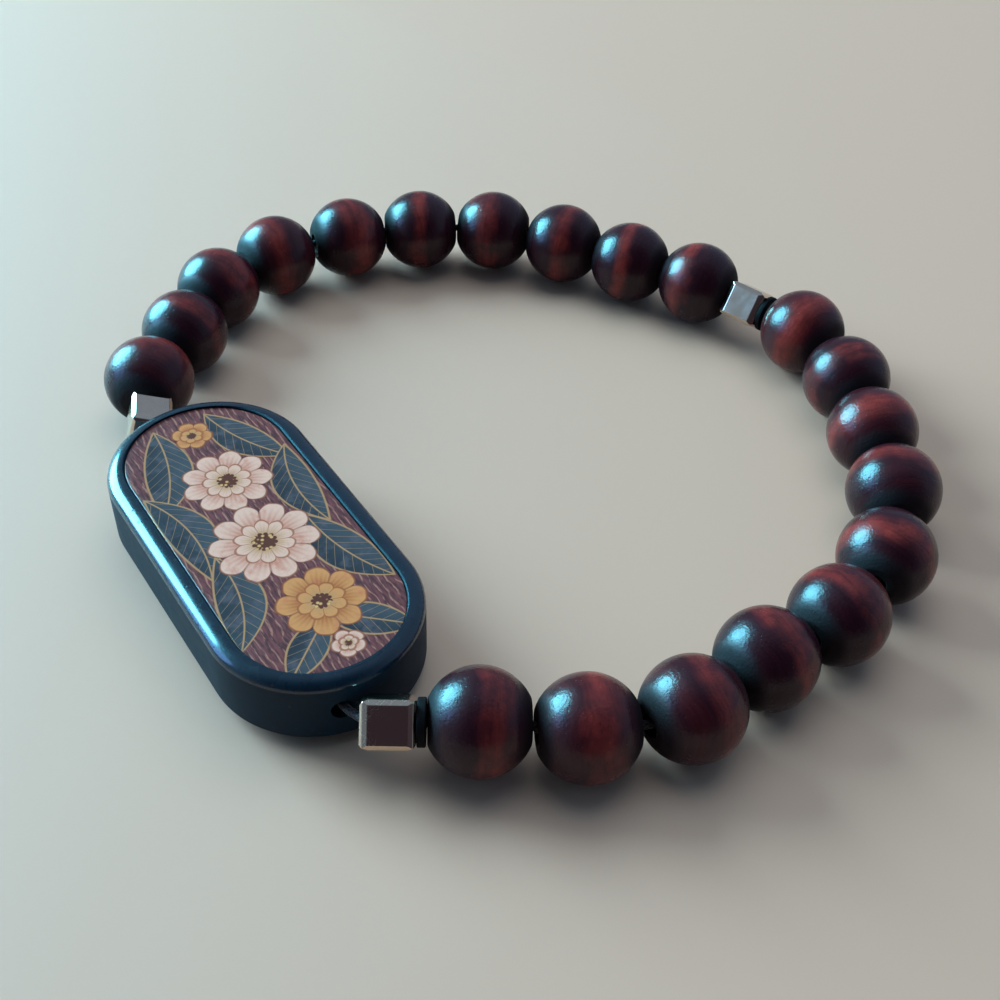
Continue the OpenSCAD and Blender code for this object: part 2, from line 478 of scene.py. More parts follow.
class BraceletBeadSettings(bpy.types.PropertyGroup):
    """Sizes and colours of the wooden beads."""

    end_rounding: size_mm("End rounding", 0.45, "Radius between a bead's ball and its flat end")
    end_swell: size_mm("End swell", 0.03, "How much each drilled end comes nearer its neighbour")
    hole_radius: size_mm("Hole radius", 0.9, "Radius of the hole through a bead")
    mouth_radius: size_mm("Mouth radius", 1.05, "Radius of the worn mouth of the hole")
    columns: IntProperty(name="Columns", description="Faces round a bead", default=72, min=24)
    dark_wood: tint("Dark wood", (0.027, 0.0055, 0.0125), "Colour of the dark summer wood")
    red_wood: tint("Red wood", (0.24, 0.038, 0.033), "Colour of the reddish bands")
    fibre: tint("Fibre", (0.25, 0.05, 0.034), "Colour of the light fibres in the red bands")
    # Dark colour of the pores, and painted shade at the drilled ends where neighbouring beads meet
    pores_and_end_shade: tint("Stain", (0.006, 0.004, 0.0055), "Colour at the drilled ends")


class BraceletMetalSettings(bpy.types.PropertyGroup):
    """Sizes and colours of the metal cubes and the black discs."""

    cube_length: size_mm("Cube length", 3.9, "Length along the hole")
    cube_width: size_mm("Cube width", 3.5, "Width across the hole")
    bevel: size_mm("Bevel", 0.35, "Width of the bevel along a cube's edges")
    worn_edge: size_mm("Worn edge", 0.12, "Rounding of the bevel's edges")
    # The cubes are silvery metal; the warm tint in this and the smudged colour is a painted reflection of
    # warm wood around them
    metal: tint("Metal", (0.66, 0.52, 0.405), "Colour of the polished cubes")
    smudged_metal: tint("Smudged metal", (0.54, 0.40, 0.31), "Colour of the cubes where they are handled")
    disc: tint("Disc", (0.004, 0.0045, 0.006), "Colour of the discs")
    disc_dust: tint("Disc dust", (0.010, 0.011, 0.013), "Colour of the dust on the discs")


class BraceletPlaqueSettings(bpy.types.PropertyGroup):
    """Sizes and colours of the plaque and its print."""

    rim_drop: size_mm("Rim drop", 0.85, "Height of the upper rounding")
    rim_inset: size_mm("Rim inset", 1.2, "Width of the upper rounding")
    base_radius: size_mm("Base radius", 0.5, "Rounding of the lower edge")
    # The lacquer is black; the navy in it and in the dulled colour is painted light, the cool blue cast the
    # wall takes from the window
    lacquer: tint("Lacquer", (0.002, 0.017, 0.036), "Colour of the black lacquer")
    dulled: tint("Dulled lacquer", (0.006, 0.028, 0.052), "Colour of the lacquer where it is handled")
    chipped: tint("Chipped lacquer", (0.07, 0.08, 0.09), "Colour in the small nicks")
    ground: tint("Ground", (0.17, 0.066, 0.074), "Maroon ground of the print")
    leaf: tint("Leaf", (0.018, 0.034, 0.050), "Deep teal of the leaves")
    petal: tint("Petal", (0.50, 0.24, 0.17), "Peach of the petals")
    gold: tint("Gold", (0.46, 0.31, 0.14), "Old gold of the outlines")
    cream: tint("Cream", (0.72, 0.56, 0.46), "Cream of the petals' light parts")


class BraceletCordSettings(bpy.types.PropertyGroup):
    """Size and colour of the elastic cord."""

    radius: size_mm("Radius", 0.33, "Radius of the elastic cord")
    strand: tint("Strand", (0.015, 0.015, 0.017), "Colour of the cord's strands")


class BraceletStageSettings(bpy.types.PropertyGroup):
    """Floor, light and camera."""

    floor: tint("Floor", (0.58, 0.475, 0.37), "Colour of the plain floor")
    lens: FloatProperty(
        name="Lens", description="Focal length on a 36 mm sensor", default=47.42, unit="CAMERA")
    window_glow: power_w("Window glow", 14.0, "Power of the window seen in the gloss")
    side_glow: power_w("Side glow", 1.4, "Power of the dimmer pane beside the window")
    key_power: power_w("Key power", 7.4, "Power of the soft light from the left")
    sky_power: power_w("Sky power", 3.3, "Power of the large soft light overhead")


SETTINGS = {
    "bracelet_beads": BraceletBeadSettings,
    "bracelet_metal": BraceletMetalSettings,
    "bracelet_plaque": BraceletPlaqueSettings,
    "bracelet_cord": BraceletCordSettings,
    "bracelet_stage": BraceletStageSettings,
}


# Beads

BEAD_SEED = 11
# Share of its radius that a bead is out of round, and the share of the radius from which that counts
OUT_OF_ROUND = 0.006
BALL_FROM = 0.96
# Beads after this one are painted a little darker: painted shade on the beads at the far end of the loop
LAST_LIT_BEAD = 13


def bead_profile(radius, half_length, s):
    """Closed outline of a drilled bead: hole wall, worn mouth, flat end, small round and ball, then back."""
    rounding = s.end_rounding
    # The small round touches the flat end and the ball from inside.
    centre_x = half_length - rounding
    centre_r = math.sqrt((radius - rounding) ** 2 - centre_x ** 2)
    meet = math.degrees(math.atan2(centre_r, centre_x))
    lip = s.mouth_radius - s.hole_radius
    half = np.concatenate([
        straight((0.0, s.hole_radius), (half_length - lip, s.hole_radius), 5),
        arc(half_length - lip, s.mouth_radius, lip, -90, 0, 4)[:-1],
        corner(half_length, s.mouth_radius),
        straight((half_length, s.mouth_radius), (half_length, centre_r), 2),
        arc(centre_x, centre_r, rounding, 0, meet, 5),
        arc(0.0, 0.0, radius, meet, 90, 22)[1:],
    ])
    return np.concatenate([corner(0.0, s.hole_radius), half, half[::-1][1:] * (-1, 1)])


def wood_material(s):
    """Dark banded wood under a semi-gloss coat: bands lie square to the hole, fibres run round the bead."""
    material, g, shader = new_material(
        "stained banded wood", Coat_Roughness=0.42, Coat_IOR=1.5, IOR=1.45, Specular_IOR_Level=0.25)
    place = g.attribute("wood_place", "Vector")
    along = g.attribute("along_hole")
    x, y, z = g.split(place)
    level = x + g.noise(place, 0.2) * 2.2
    streak = g.smooth(g.noise(g.join(level * 0.6, y * 0.04, z * 0.04), 1.0), 0.3, 0.72)
    # A red band crosses the bead near its middle, streaked and mottled.
    wander = (g.noise(place, 0.22) - 0.5) * 0.95 - g.attribute("band_shift")
    width = g.attribute("band_width")
    band = g.fade(abs(along + wander), width * 0.1, width * 1.2)
    mottle = g.smooth(g.noise(place, 0.75, 3.0, 0.6), 0.3, 0.7, 0.45, 1.0)
    red = band * (streak * 0.5 + 0.55) * mottle
    # The per-bead tone is partly random and partly painted shade, darker on the beads after LAST_LIT_BEAD
    red = g.math("ADD", red, g.attribute("bead_tone") + streak * 0.16, clamp=True)
    body = g.mix(red, s.dark_wood, s.red_wood)
    # Dark and light fibres, then the pores, then painted shade towards the drilled ends
    fibres = g.noise(g.join(level * 3.2, y * 0.25, z * 0.25), 1.0, 3.0, 0.6)
    shaded = g.mix(1.0, body, (0.45, 0.40, 0.42), "MULTIPLY")
    body = g.mix(g.smooth(fibres, 0.4, 0.75, 0.0, 0.55), body, shaded)
    body = g.mix(g.smooth(fibres, 0.36, 0.2, 0.0, 0.6) * red, body, s.fibre)
    pores = g.cells(g.join(x * 2.6, y * 0.75, z * 0.75), 1.0)
    pore = g.fade(pores, 0.10, 0.20) * g.smooth(g.noise(place, 0.8, 1.0), 0.45, 0.6)
    body = g.mix(pore * 0.4, body, s.pores_and_end_shade)
    # Painted shade: the wood goes nearly black towards the drilled ends, where neighbouring beads meet
    ends = g.smooth(abs(along), 0.66, 0.93)
    body = g.mix(ends * 0.85, body, s.pores_and_end_shade)
    peel = g.effect("orange peel", Vector=place, Wave_scale=1.3, Pit_scale=2.6, Pit_depth=0.6)
    marks = g.effect("handling marks", Vector=place, Scale=0.7)
    grain = g.bump(fibres - pore * 0.5, 0.22, 0.00004)
    speckle = g.bump(g.noise(place, 4.5, 1.0), 0.4, 0.000055, grain)
    g.feed(
        shader,
        Base_Color=body,
        Roughness=marks["Smudge"] * 0.10 + 0.19 + peel["Pits"] * 0.15 + ends * 0.55,
        Coat_Weight=(1.0 - ends) * 0.12,
        Normal=g.bump(peel["Height"], 0.5, 0.00005, speckle),
    )
    return material


class BRACELET_OT_beads(bpy.types.Operator):
    """Turn the wooden beads on their holes"""

    bl_idname = "bracelet.beads"
    bl_label = "Wooden beads"

    def execute(self, context):
        s = context.scene.bracelet_beads
        material = wood_material(s)
        random = np.random.default_rng(BEAD_SEED)
        angle = round_angles(s.columns)
        for number, node in enumerate(BEADS, 1):
            middle = node_middle(node)
            points = node_points(node) - middle
            axis = hole_axis(node)
            half_length = np.abs(points @ axis).max() + s.end_swell
            radius = np.linalg.norm(points, axis=1).max()
            rings = turned(bead_profile(radius, half_length, s), s.columns)
            # A turned bead is a little out of round: low waves round and along it, only inwards.
            phase = random.uniform(0, TAU, 3)
            wave = np.sin(2 * angle + phase[0]) * np.cos(rings[..., 0] / radius * 1.6 + phase[1])
            ball = np.linalg.norm(rings, axis=-1) > radius * BALL_FROM
            rings[..., 1:] *= (1 - OUT_OF_ROUND * (0.5 + 0.5 * wave) * ball)[..., None]
            # Each bead is cut from its own place in the wood and turned its own way.
            turn = upright_basis([1.0, 0.0, 0.0], random.uniform(0, TAU))
            piece = make_piece(
                "bead_wood_%02d" % number, rings @ upright_basis(axis) + middle, material,
                wood_place=rings @ turn + random.uniform(-60, 60, 3),
                along_hole=rings[..., 0] / half_length,
                # a random tone, less painted shade on the beads after LAST_LIT_BEAD
                bead_tone=random.uniform(-0.18, 0.06) - 0.1 * (number > LAST_LIT_BEAD),
                band_shift=random.uniform(-0.25, 0.25),
                band_width=random.uniform(0.26, 0.6))
            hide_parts(node)
            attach(piece, "root")
        return {"FINISHED"}


# Cubes and discs


def cut_square(half, bevel, side_steps=8):
    """Points round a square with its corners cut off: each side runs evenly between its two cuts."""
    side = np.linspace(bevel - half, half - bevel, side_steps)
    side = np.stack([np.full(side_steps, half), side], axis=1)
    turns = [np.array([[c, s], [-s, c]]) for c, s in ((1, 0), (0, 1), (-1, 0), (0, -1))]
    return np.concatenate([side @ turn for turn in turns])


def drilled_cube(length, width, bevel, hole):
    """Rings from the middle of the hole over one end to the middle of the outside, then mirrored. The square
    grows steeply over the end bevel, then gently over a worn slope twice as long, and its own corners are
    cut only along that slope."""
    half, lip = length / 2, 0.08
    steep, slope, drop = bevel * 0.55, bevel * 1.1, bevel * 0.44
    face = cut_square(width / 2 - bevel, 0.0)
    circle = face / np.linalg.norm(face, axis=1, keepdims=True)
    mouth = circle * (hole + lip)
    shoulder = cut_square(width / 2 - drop, 0.0)
    side = cut_square(width / 2, bevel)
    rings = [(x, circle * hole) for x in np.linspace(0, half - lip, 4)]
    rings += [(half, mouth * (1 - t) + face * t) for t in (0.0, 0.2, 0.5, 1.0)]
    rings.append((half - steep, shoulder))
    rings += [(x, side) for x in np.linspace(half - steep - slope, 0, 4)]
    rings = np.array([np.insert(flat, 0, x, axis=1) for x, flat in rings])
    return np.concatenate([rings, rings[1:-1][::-1] * (-1, 1, 1)])


def section_roll(points, axis):
    """Roll of a cube's square section about its hole: the turn that makes its width least."""
    level, upright = upright_basis(axis)[1:]
    flat = np.stack([points @ level, points @ upright], axis=1)
    turns = np.radians(np.arange(0, 90, 0.5))
    across = np.abs(flat @ np.stack([np.cos(turns), np.sin(turns)])).max(axis=0)
    return float(turns[np.argmin(across)])


def metal_material(s):
    """Polished metal with smudges and hair scratches."""
    material, g, shader = new_material("polished cube metal", Metallic=1.0)
    place = g.millimetres()
    marks = g.effect("handling marks", Vector=place, Scale=2.2)
    smudge, scratches = marks["Smudge"], marks["Scratches"]
    # The metal's warm tint is a painted reflection of warm wood; the smudges are real
    g.feed(
        shader,
        Base_Color=g.mix(smudge * 0.5, s.metal, s.smudged_metal),
        Roughness=smudge * 0.12 + 0.12 + scratches * 0.25,
        Normal=g.bump(g.noise(place, 0.55, 1.0) * 0.8 - scratches * 0.03, 0.5, 0.00009),
    )
    return material


class BRACELET_OT_cubes(bpy.types.Operator):
    """Make the polished cubes with bevelled edges"""

    bl_idname = "bracelet.cubes"
    bl_label = "Metal cubes"

    def execute(self, context):
        s = context.scene.bracelet_metal
        hole = context.scene.bracelet_beads.hole_radius
        material = metal_material(s)
        for number, node in enumerate(CUBES, 1):
            middle = node_middle(node)
            axis = hole_axis(node)
            basis = upright_basis(axis, section_roll(node_points(node) - middle, axis))
            rings = drilled_cube(s.cube_length, s.cube_width, s.bevel, hole)
            piece = make_piece("cube_metal_%d" % number, rings @ basis + middle, material)
            merged_closed(piece)
            soften = piece.modifiers.new("worn_edges", "BEVEL")
            soften.width, soften.segments = s.worn_edge * MM, 3
            soften.limit_method, soften.angle_limit = "ANGLE", math.radians(15)
            soften.harden_normals = True
            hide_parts(node)
            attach(piece, "root")
        return {"FINISHED"}


def disc_material(s):
    """Smooth black with faint turning rings and dust."""
    material, g, shader = new_material("black disc", Specular_IOR_Level=0.08)
    place = g.millimetres()
    smudge = g.effect("handling marks", Vector=place, Scale=1.6)["Smudge"]
    rings = g.math("SINE", g.attribute("from_hole") * 30.0)
    g.feed(
        shader,
        Base_Color=g.mix(smudge * 0.5, s.disc, s.disc_dust),
        Roughness=smudge * 0.15 + 0.6,
        Normal=g.bump(rings * 0.1 + g.noise(place, 3.0), 0.2, 0.00003),
    )
    return material


class BRACELET_OT_discs(bpy.types.Operator):
    """Make the thin black discs"""

    bl_idname = "bracelet.discs"
    bl_label = "Black discs"

    def execute(self, context):
        hole = context.scene.bracelet_beads.hole_radius
        material = disc_material(context.scene.bracelet_metal)
        columns, edge, swell, clearance = 72, 0.1, 0.03, 0.05
        for number, (node, cube) in enumerate(zip(DISCS, CUBES), 1):
            middle = node_middle(node)
            axis = hole_axis(cube)
            points = node_points(node) - middle
            near = -np.abs(points @ axis).max() - swell
            radius = np.linalg.norm(points - np.outer(points @ axis, axis), axis=1).max()
            # The disc fills the room on the side of its bead, up to a hair's breadth: beyond the disc's own
            # thickness its black is painted shade, standing in for the shaded gap before the bead.
            bead = min(BEADS, key=lambda other: np.linalg.norm(node_middle(other) - middle))
            if (node_middle(bead) - middle) @ axis < 0:
                axis = -axis
            room = node_points(bead) - middle
            off = np.linalg.norm(room - np.outer(room @ axis, axis), axis=1)
            far = (room @ axis)[off < radius].min() - clearance
            rings = turned(np.concatenate([
                straight((near, hole), (far, hole), 3),
                corner(far, hole),
                straight((far, hole), (far, radius - edge), 6),
                arc(far - edge, radius - edge, edge, 0, 90, 5),
                arc(near + edge, radius - edge, edge, 90, 180, 5),
                straight((near, radius - edge), (near, hole), 6),
                corner(near, hole),
            ]), columns)
            piece = make_piece("disc_black_%d" % number, rings @ upright_basis(axis) + middle, material,
                               from_hole=np.linalg.norm(rings[..., 1:], axis=-1))
            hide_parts(node)
            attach(piece, "root")
        return {"FINISHED"}


# Plaque


class Oblong:
    """A CAD node's outline from above, in millimetres: two straight sides and two half circles."""

    def __init__(self, node):
        low, high = (np.array(v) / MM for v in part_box(node))
        self.middle = (low + high) / 2
        self.low, self.high = low[2], high[2]
        self.radius = (high[1] - low[1]) / 2
        self.straight = (high[0] - low[0]) / 2 - self.radius
        self.half_length = self.straight + self.radius

    def carried(self, profile, arc_steps=72, side_steps=48):
        """A profile of (inset, height) carried round the outline. A point is its centre plus the unit normal
        times the radius less the inset. On a half circle the centre holds still and the normal turns, along
        a side the centre moves and the normal holds still. The other half has its signs changed."""
        turn = np.radians(np.append(np.linspace(-90, 90, arc_steps), np.full(side_steps, 90.0)))
        x = np.append(np.ones(arc_steps), np.linspace(1, -1, side_steps + 2)[1:-1]) * self.straight
        normal = np.stack([np.cos(turn), np.sin(turn)], axis=1)
        centre = np.stack([x, np.zeros(len(x))], axis=1)
        centres, normals = np.concatenate([centre, -centre]), np.concatenate([normal, -normal])
        reach = self.radius - profile[:, 0]
        flat = centres + normals * reach[:, None, None] + self.middle[:2]
        height = np.broadcast_to(profile[:, 1:2, None], (*flat.shape[:2], 1))
        return np.concatenate([flat, height], axis=-1)

    def cord_inside(self):
        """The CAD cord's points within the outline's length and width."""
        away = np.abs(CORD_POINTS - self.middle)
        return CORD_POINTS[(away[:, 0] < self.half_length - 0.2) & (away[:, 1] < self.radius)]


def lacquer_material(s):
    """Black lacquer, duller on the wall than on the polished rim, with waves, dust and small nicks."""
    material, g, shader = new_material(
        "black plaque lacquer", Coat_Roughness=0.12, Coat_IOR=1.5, Specular_IOR_Level=0.15)
    place = g.millimetres()
    polish = g.attribute("edge")
    marks = g.effect("handling marks", Vector=place, Scale=1.1)
    smudge, scratches = marks["Smudge"], marks["Scratches"]
    peel = g.effect("orange peel", Vector=place, Wave_scale=0.9, Pit_scale=1.7, Pit_depth=0.25)
    nick = g.fade(g.cells(place, 1.1), 0.08, 0.18) * g.smooth(g.noise(place, 0.5), 0.46, 0.56)
    # The black lacquer's navy cast is painted light: the blue that the window's light gives the wall
    g.feed(
        shader,
        Base_Color=g.mix(nick * 0.35, g.mix(smudge * 0.5, s.lacquer, s.dulled), s.chipped),
        Roughness=0.55 - polish * 0.3 + smudge * 0.07 + scratches * 0.2,
        Coat_Weight=polish * (0.85 - nick * 0.8),
        Normal=g.bump(peel["Height"] - nick * 0.6 - scratches * 0.15, 0.45, 0.00005),
    )
    return material


class BRACELET_OT_plaque(bpy.types.Operator):
    """Carry the plaque's section round its outline and drill the cord's channel"""

    bl_idname = "bracelet.plaque"
    bl_label = "Plaque"

    def execute(self, context):
        s = context.scene.bracelet_plaque
        shape = Oblong("plaque_body")
        low, high, base = shape.low, shape.high, s.base_radius
        rounded = arc(1.0, 0.0, 1.0, 180, 90, 14) * (s.rim_inset, s.rim_drop) + (0.0, high - s.rim_drop)
        outer = np.concatenate([
            corner(shape.radius, low),
            straight((shape.radius, low), (base, low), 5),
            arc(base, low + base, base, 270, 180, 8),
            straight((0.0, low + base), (0.0, high - s.rim_drop), 6),
            rounded,
        ])
        rings = shape.carried(outer)
        # The recess goes down to just under the plate, with a little room round it.
        room = 0.05
        recess = Oblong("plaque_picture")
        recess.radius += room
        floor = recess.low - room
        inner = recess.carried(np.array([
            [-0.12, high], [-0.06, high - 0.02], [0.0, high - 0.1], [0.0, high - 0.2], [0.0, floor],
            [recess.radius * 0.4, floor], [recess.radius, floor],
        ]))
        # The recess is narrower than the outline by different amounts at the sides and the ends, so the
        # ring between them is half of each.
        land = rings[-1] * 0.5 + inner[0] * 0.5
        land[:, 2] = high
        grid = np.concatenate([rings, land[None], inner])
        polish = np.zeros((len(grid), 1))
        polish[len(outer) - len(rounded) + 1:len(outer) + 1] = 1.0
        piece = make_piece("plaque_lacquered", grid, lacquer_material(s), closed_rows=False, edge=polish)
        merged_closed(piece)
        y, z = shape.cord_inside().mean(axis=0)[1:]
        drill(piece, np.array([shape.middle[0], y, z]), context.scene.bracelet_beads.hole_radius,
              2 * shape.half_length + 4)
        piece.data.shade_smooth()
        sharpen(piece, 35)
        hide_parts("plaque_body")
        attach(piece, "root")
        return {"FINISHED"}


# The print

# Rows, in millimetres and degrees from the plate's middle: [x, y, half length, half width, turn, bend]
LEAVES = [
    (-9.6, -3.3, 5.2, 1.9, -18, 0.03),
    (-10.4, 3.4, 4.6, 1.7, 24, -0.03),
    (-3.0, 4.6, 5.0, 1.7, -6, -0.04),
    (-2.2, -4.7, 5.4, 1.8, 5, 0.04),
    (5.4, 4.4, 4.8, 1.9, 16, -0.03),
    (6.2, -4.5, 4.9, 1.8, -14, 0.04),
    (12.6, 2.6, 3.6, 1.5, 48, 0.0),
    (12.8, -2.4, 3.4, 1.4, -50, 0.0),
]
# Rows: [x, y, radius, petals, turn, whether the flower is orange]
FLOWERS = [
    (-6.2, 0.2, 3.6, 9, 10, 0),
    (1.6, -0.3, 4.3, 10, 0, 0),
    (9.3, 0.5, 3.4, 8, 20, 1),
    (-12.8, 0.1, 1.7, 6, 0, 1),
    (13.9, 0.2, 1.3, 5, 30, 0),
]
# The heart and the seed head of a flower, as shares of its radius
HEART = 0.55
SEED_HEAD = 0.24
# Inks that have no setting of their own
GROUND_SHADE = (0.06, 0.030, 0.036)
GROUND_RAY = (0.50, 0.32, 0.24)
LEAF_LIGHT = (0.045, 0.08, 0.105)
LEAF_WORN = (0.085, 0.112, 0.15)
ORANGE_NEAR = (0.36, 0.13, 0.035)
ORANGE_FAR = (0.60, 0.33, 0.12)
PETAL_WORN = (0.50, 0.17, 0.10)
PETAL_LINE = (0.22, 0.07, 0.03)
HEART_LINE = (0.30, 0.11, 0.04)
SEED_LIGHT = (0.66, 0.48, 0.20)
SEED_DARK = (0.10, 0.035, 0.02)
AGED = (0.05, 0.03, 0.03)
PLATE_EDGE = (0.02, 0.02, 0.022)


def printed_leaf(g, flat, cloth, s, paint, row):
    """The paint with one leaf over it."""
    x, y, half_length, half_width, turn, bend = row
    made = g.effect("printed leaf", Vector=flat, Centre=(x, y, 0.0), Half_length=half_length,
                    Half_width=half_width, Turn=math.radians(turn), Bend=bend)
    green = g.mix(g.smooth(made["Shade"], -0.8, 0.8), s.leaf, LEAF_LIGHT)
    green = g.mix(g.smooth(cloth, 0.45, 0.7, 0.0, 0.7), green, LEAF_WORN)
    paint = g.mix(made["Mask"], paint, green)
    return g.mix(made["Line"] * 0.85, paint, s.gold)


def printed_flower(g, flat, cloth, s, paint, row):
    """The paint with one flower over it: petals, a smaller flower as its heart and a dotted seed head."""
    x, y, radius, petals, turn, orange = row
    near, far = (ORANGE_NEAR, ORANGE_FAR) if orange else (s.petal, s.cream)

    def part(share, count, degrees):
        return g.effect("printed flower", Vector=flat, Centre=(x, y, 0.0), Radius=radius * share,
                        Petals=float(count), Turn=math.radians(degrees))

    whole = part(1.0, petals, turn)
    petal = g.mix(g.smooth(whole["Shade"], 0.30, 0.95), near, far)
    petal = g.mix(g.smooth(cloth, 0.5, 0.75, 0.0, 0.6), petal, PETAL_WORN)
    paint = g.mix(whole["Mask"], paint, petal)
    paint = g.mix(whole["Line"] * 0.75, paint, PETAL_LINE)
    heart = part(HEART, petals, turn + 180 / petals)
    paint = g.mix(heart["Mask"], paint, g.mix(g.smooth(heart["Shade"], 0.2, 0.95), s.gold, far))
    paint = g.mix(heart["Line"] * 0.8, paint, HEART_LINE)
    seeds = g.mix(g.smooth(g.cells(flat, 2.4), 0.2, 0.45), SEED_LIGHT, SEED_DARK)
    return g.mix(part(SEED_HEAD, 12, 0)["Mask"], paint, seeds)


def print_material(s):
    """Flowers and veined leaves over a hatched ground, painted with soft strokes, under clear gloss."""
    material, g, shader = new_material(
        "printed flower plate", Coat_Weight=1.0, Coat_Roughness=0.03, Coat_IOR=1.4, Specular_IOR_Level=0.15)
    middle = Oblong("plaque_picture").middle
    place = g.vector("SUBTRACT", g.millimetres(), (float(middle[0]), float(middle[1]), 0.0))
    x, y, _ = g.split(place)
    flat = g.join(x, y, 0.0)
    strokes = g.noise(g.join(x * 0.9, y * 5.0, 0.0), 0.9, 3.0, 0.6)
    hatch = g.math("SINE", y * 11.0 + g.noise(flat, 0.35) * 16.0)
    paint = g.mix(g.smooth(strokes, 0.35, 0.68), s.ground, GROUND_SHADE)
    rays = g.smooth(hatch, 0.55, 0.95) * g.smooth(strokes, 0.62, 0.42, 0.0, 0.55)
    paint = g.mix(rays, paint, GROUND_RAY)
    cloth = g.noise(flat, 0.7, 3.0, 0.6)
    for row in LEAVES:
        paint = printed_leaf(g, flat, cloth, s, paint, row)
    for row in FLOWERS:
        paint = printed_flower(g, flat, cloth, s, paint, row)
    paint = g.mix(g.smooth(g.noise(flat, 3.0, 4.0, 0.7), 0.5, 0.8, 0.0, 0.22), paint, AGED)
    top = g.smooth(g.attribute("top_face"), 0.4, 0.6)
    marks = g.effect("handling marks", Vector=place, Scale=1.3)
    g.feed(
        shader,
        Base_Color=g.mix(top, PLATE_EDGE, paint),
        Roughness=marks["Smudge"] * 0.10 + 0.30,
        Normal=g.bump(g.noise(place, 0.5, 1.0) * 0.6 - marks["Scratches"] * 0.1, 0.25, 0.00004),
    )
    return material


class BRACELET_OT_picture(bpy.types.Operator):
    """Make the printed plate with its softened edge"""

    bl_idname = "bracelet.picture"
    bl_label = "Printed plate"

    def execute(self, context):
        shape = Oblong("plaque_picture")
        low, high, radius, soft = shape.low, shape.high, shape.radius, 0.08
        below = [[radius, low], [radius * 0.5, low], [0.02, low], [0.0, low + 0.02], [0.0, high - soft]]
        grid = shape.carried(np.concatenate([
            np.array(below),
            arc(soft, high - soft, soft, 180, 90, 5)[1:],
            np.array([[radius * t, high] for t in (0.1, 0.3, 0.6, 1.0)]),
        ]))
        top = np.zeros((len(grid), 1))
        top[len(below):] = 1.0
        piece = make_piece("plaque_print", grid, print_material(context.scene.bracelet_plaque),
                           closed_rows=False, top_face=top)
        merged_closed(piece)
        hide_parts("plaque_picture")
        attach(piece, "root")
        return {"FINISHED"}


# Cord

CORD_COLUMNS = 20
CORD_STEPS = 6
# Painted shade: the colour in the grooves between the strands
CORD_GROOVE = (0.003, 0.003, 0.004)


def cord_material(s):
    """Black elastic in a knitted sleeve: two sets of strands wound opposite ways round the cord."""
    material, g, shader = new_material("black elastic", Sheen_Weight=0.25, Sheen_Roughness=0.4)
    wound = g.attribute("round_cord")
    along = g.attribute("along_cord")
    strands = g.math("MAXIMUM", *(g.math("SINE", wound * turns + along * 12.0) for turns in (6.0, -6.0)))
    # The colour darkens into the grooves between the strands: painted shade
    g.feed(
        shader,
        Base_Color=g.mix(g.smooth(strands, -0.2, 0.9), CORD_GROOVE, s.strand),
        Roughness=g.smooth(strands, -0.5, 1.0, 0.75, 0.5),
        Normal=g.bump(strands, 0.5, 0.00004),
    )
    return material


def cord_route():
    """Points on the cord's middle line, from hole mouth to hole mouth, found as rings of the CAD cord."""
    body = Oblong("plaque_body")
    inside = body.cord_inside()
    right, left = (inside[(inside[:, 0] - body.middle[0]) * side > 0].mean(axis=0) for side in (1, -1))
    rings = [right]
    for node in STRING:
        rings += sorted(hole_ends(node), key=lambda end: np.linalg.norm(end - rings[-1]))
    return np.array([*rings, left])


class BRACELET_OT_cord(bpy.types.Operator):
    """Carry a circle along the cord's route"""

    bl_idname = "bracelet.cord"
    bl_label = "Elastic cord"

    def execute(self, context):
        s = context.scene.bracelet_cord
        route = cord_route()
        # Each straight stretch is cut into short steps and the corners are then eased by averaging.
        following = np.roll(route, -1, axis=0)
        t = np.arange(CORD_STEPS)[:, None] / CORD_STEPS
        path = (route[:, None] * (1 - t) + following[:, None] * t).reshape(-1, 3)
        for _ in range(2):
            path = (np.roll(path, 1, axis=0) + 2 * path + np.roll(path, -1, axis=0)) / 4
        ahead = np.roll(path, -1, axis=0) - np.roll(path, 1, axis=0)
        ahead /= np.linalg.norm(ahead, axis=1, keepdims=True)
        across = np.cross([0.0, 0.0, 1.0], ahead)
        across /= np.linalg.norm(across, axis=1, keepdims=True)
        upward = np.cross(ahead, across)
        # The angles run backwards, so that the faces point outwards.
        angle = round_angles(CORD_COLUMNS)[::-1]
        round_ring = np.cos(angle)[:, None] * across[:, None] + np.sin(angle)[:, None] * upward[:, None]
        step = np.linalg.norm(np.roll(path, -1, axis=0) - path, axis=1)
        piece = make_piece("cord_elastic_sleeve", path[:, None] + s.radius * round_ring, cord_material(s),
                           along_cord=(np.cumsum(step) - step)[:, None], round_cord=angle)
        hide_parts("elastic_cord")
        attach(piece, "root")
        return {"FINISHED"}


# Stage

FLOOR_HALF = 4.0
# Where the lights come from, seen from the bracelet
WINDOW = (-0.81, -0.41, 0.42)
PANE = (-0.50, -0.72, 0.40)
OVERHEAD = (-0.3, 0.25, 0.95)
# The camera in the plaque's own frame: place in millimetres, tilt below level and roll in degrees, and the
# level unit vector to its right
CAMERA_PLACE = (69.799, -26.633, 78.775)
CAMERA_TILT = 43.2057
CAMERA_ROLL = 2.3842
CAMERA_LEVEL = (0.5773, 0.8165)


def make_floor(colour_of_floor):
    """A plain square floor at the height the bracelet lies on."""
    mesh = bpy.data.meshes.new("floor")
    h = FLOOR_HALF
    mesh.from_pydata([(-h, -h, 0), (h, -h, 0), (h, h, 0), (-h, h, 0)], [], [(0, 1, 2, 3)])
    floor = new_object("floor", mesh)
    material = new_material("plain pale floor", Roughness=0.75, Base_Color=(*colour_of_floor, 1.0))[0]
    mesh.materials.append(material)


